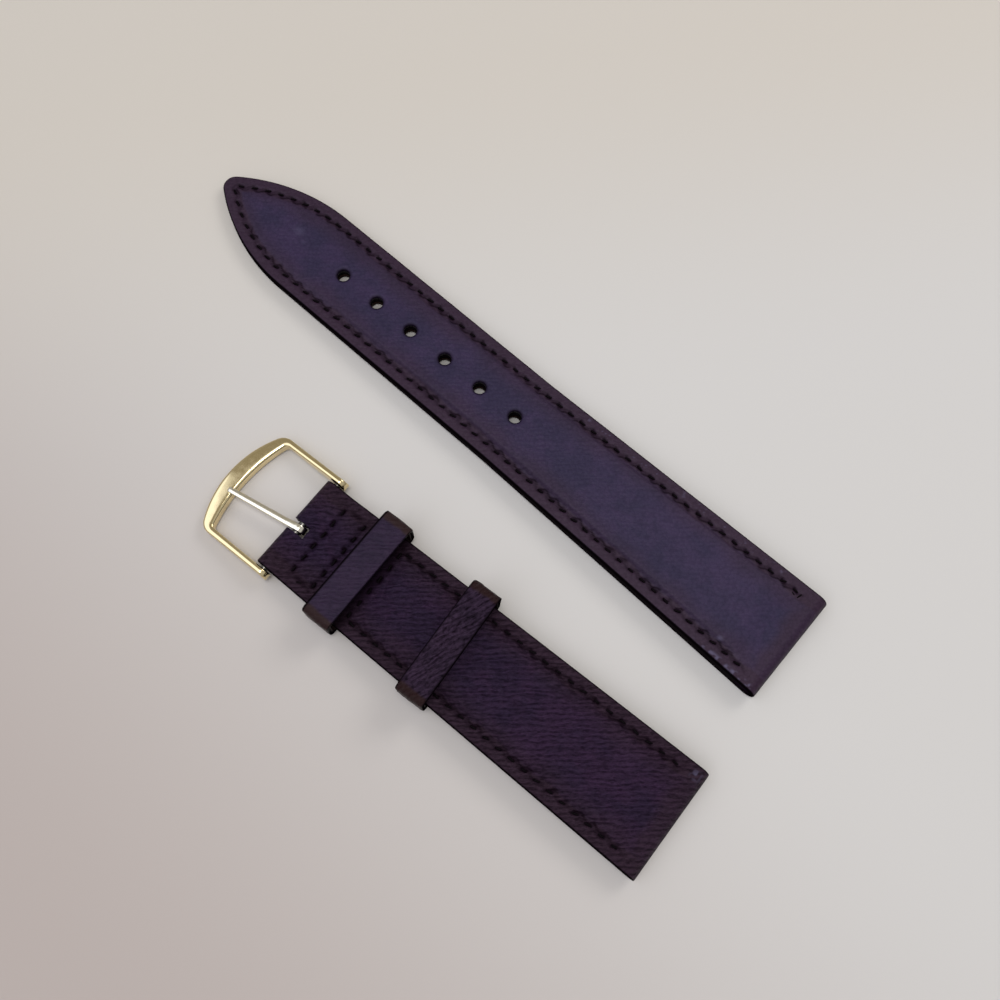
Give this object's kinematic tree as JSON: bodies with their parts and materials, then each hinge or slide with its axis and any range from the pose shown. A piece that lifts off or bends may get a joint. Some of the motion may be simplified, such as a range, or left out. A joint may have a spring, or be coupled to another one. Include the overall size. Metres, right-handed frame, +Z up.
{
  "type": "leather watch strap",
  "caption": "Padded, stitched leather watch strap in two halves: a tapered half with punched holes and a shorter half with a pin buckle, a fixed keeper and a sliding keeper.",
  "frame": {"origin": "centre of the lug spring-bar tunnel of the buckle half", "axes": "+X along the buckle half from its lug end to the buckle, +Y along the lug tunnel, away from the hole half, +Z up from the wearer's skin side to the outer side"},
  "size_m": [0.1165, 0.0529, 0.0076],
  "materials": {
    "purple_leather": "grained, satin, dark aubergine",
    "lining_leather": "smooth, matt",
    "padding": "soft felt",
    "stiffener": "bonded fibre",
    "thread": "waxed thread",
    "gold_plate": "polished gold plating",
    "steel": "turned stainless steel"
  },
  "bodies": {
    "buckle_half": {"short_top_leather": "purple_leather", "short_padding": "padding", "short_stiffener": "stiffener", "short_lining": "lining_leather", "short_side_stitching": "thread", "loop_stitching": "thread", "fixed_keeper_leather": "purple_leather", "fixed_keeper_lining": "lining_leather", "spring_bar_tube": "steel", "spring_bar_spring": "steel"},
    "free_keeper": {"free_keeper_leather": "purple_leather", "free_keeper_lining": "lining_leather"},
    "buckle": {"buckle_frame": "gold_plate"},
    "tang": {"buckle_tang": "gold_plate"},
    "tip_left": {"spring_bar_tip_left": "steel"},
    "tip_right": {"spring_bar_tip_right": "steel"},
    "hole_half": {"long_top_leather": "purple_leather", "long_padding": "padding", "long_stiffener": "stiffener", "long_lining": "lining_leather", "long_stitching": "thread"}
  },
  "joints": [
    {"name": "buckle_hinge", "type": "hinge", "parent": "buckle_half", "child": "buckle", "pos_m": [0.0665, 0, 0.00009], "axis": [0, 1, 0], "range_deg": [-60, 100]},
    {"name": "tang_hinge", "type": "hinge", "parent": "buckle", "child": "tang", "pos_m": [0.0665, 0, 0.00009], "axis": [0, -1, 0], "range_deg": [0, 60]},
    {"name": "free_keeper_slide", "type": "slide", "parent": "buckle_half", "child": "free_keeper", "axis": [1, 0, 0], "range_m": [-0.008, 0.0105]},
    {"name": "tip_left_slide", "type": "slide", "parent": "buckle_half", "child": "tip_left", "axis": [0, -1, 0], "range_m": [0, 0.0006], "stiffness_N_per_m": 600, "deforming": ["spring_bar_spring"]},
    {"name": "tip_right_slide", "type": "slide", "parent": "buckle_half", "child": "tip_right", "axis": [0, 1, 0], "range_m": [0, 0.0006], "stiffness_N_per_m": 600, "deforming": ["spring_bar_spring"]},
    {"name": "hole_half_lift", "type": "slide", "parent": "buckle_half", "child": "hole_half", "axis": [0, 0, 1], "range_m": [0, 0.03]}
  ]
}
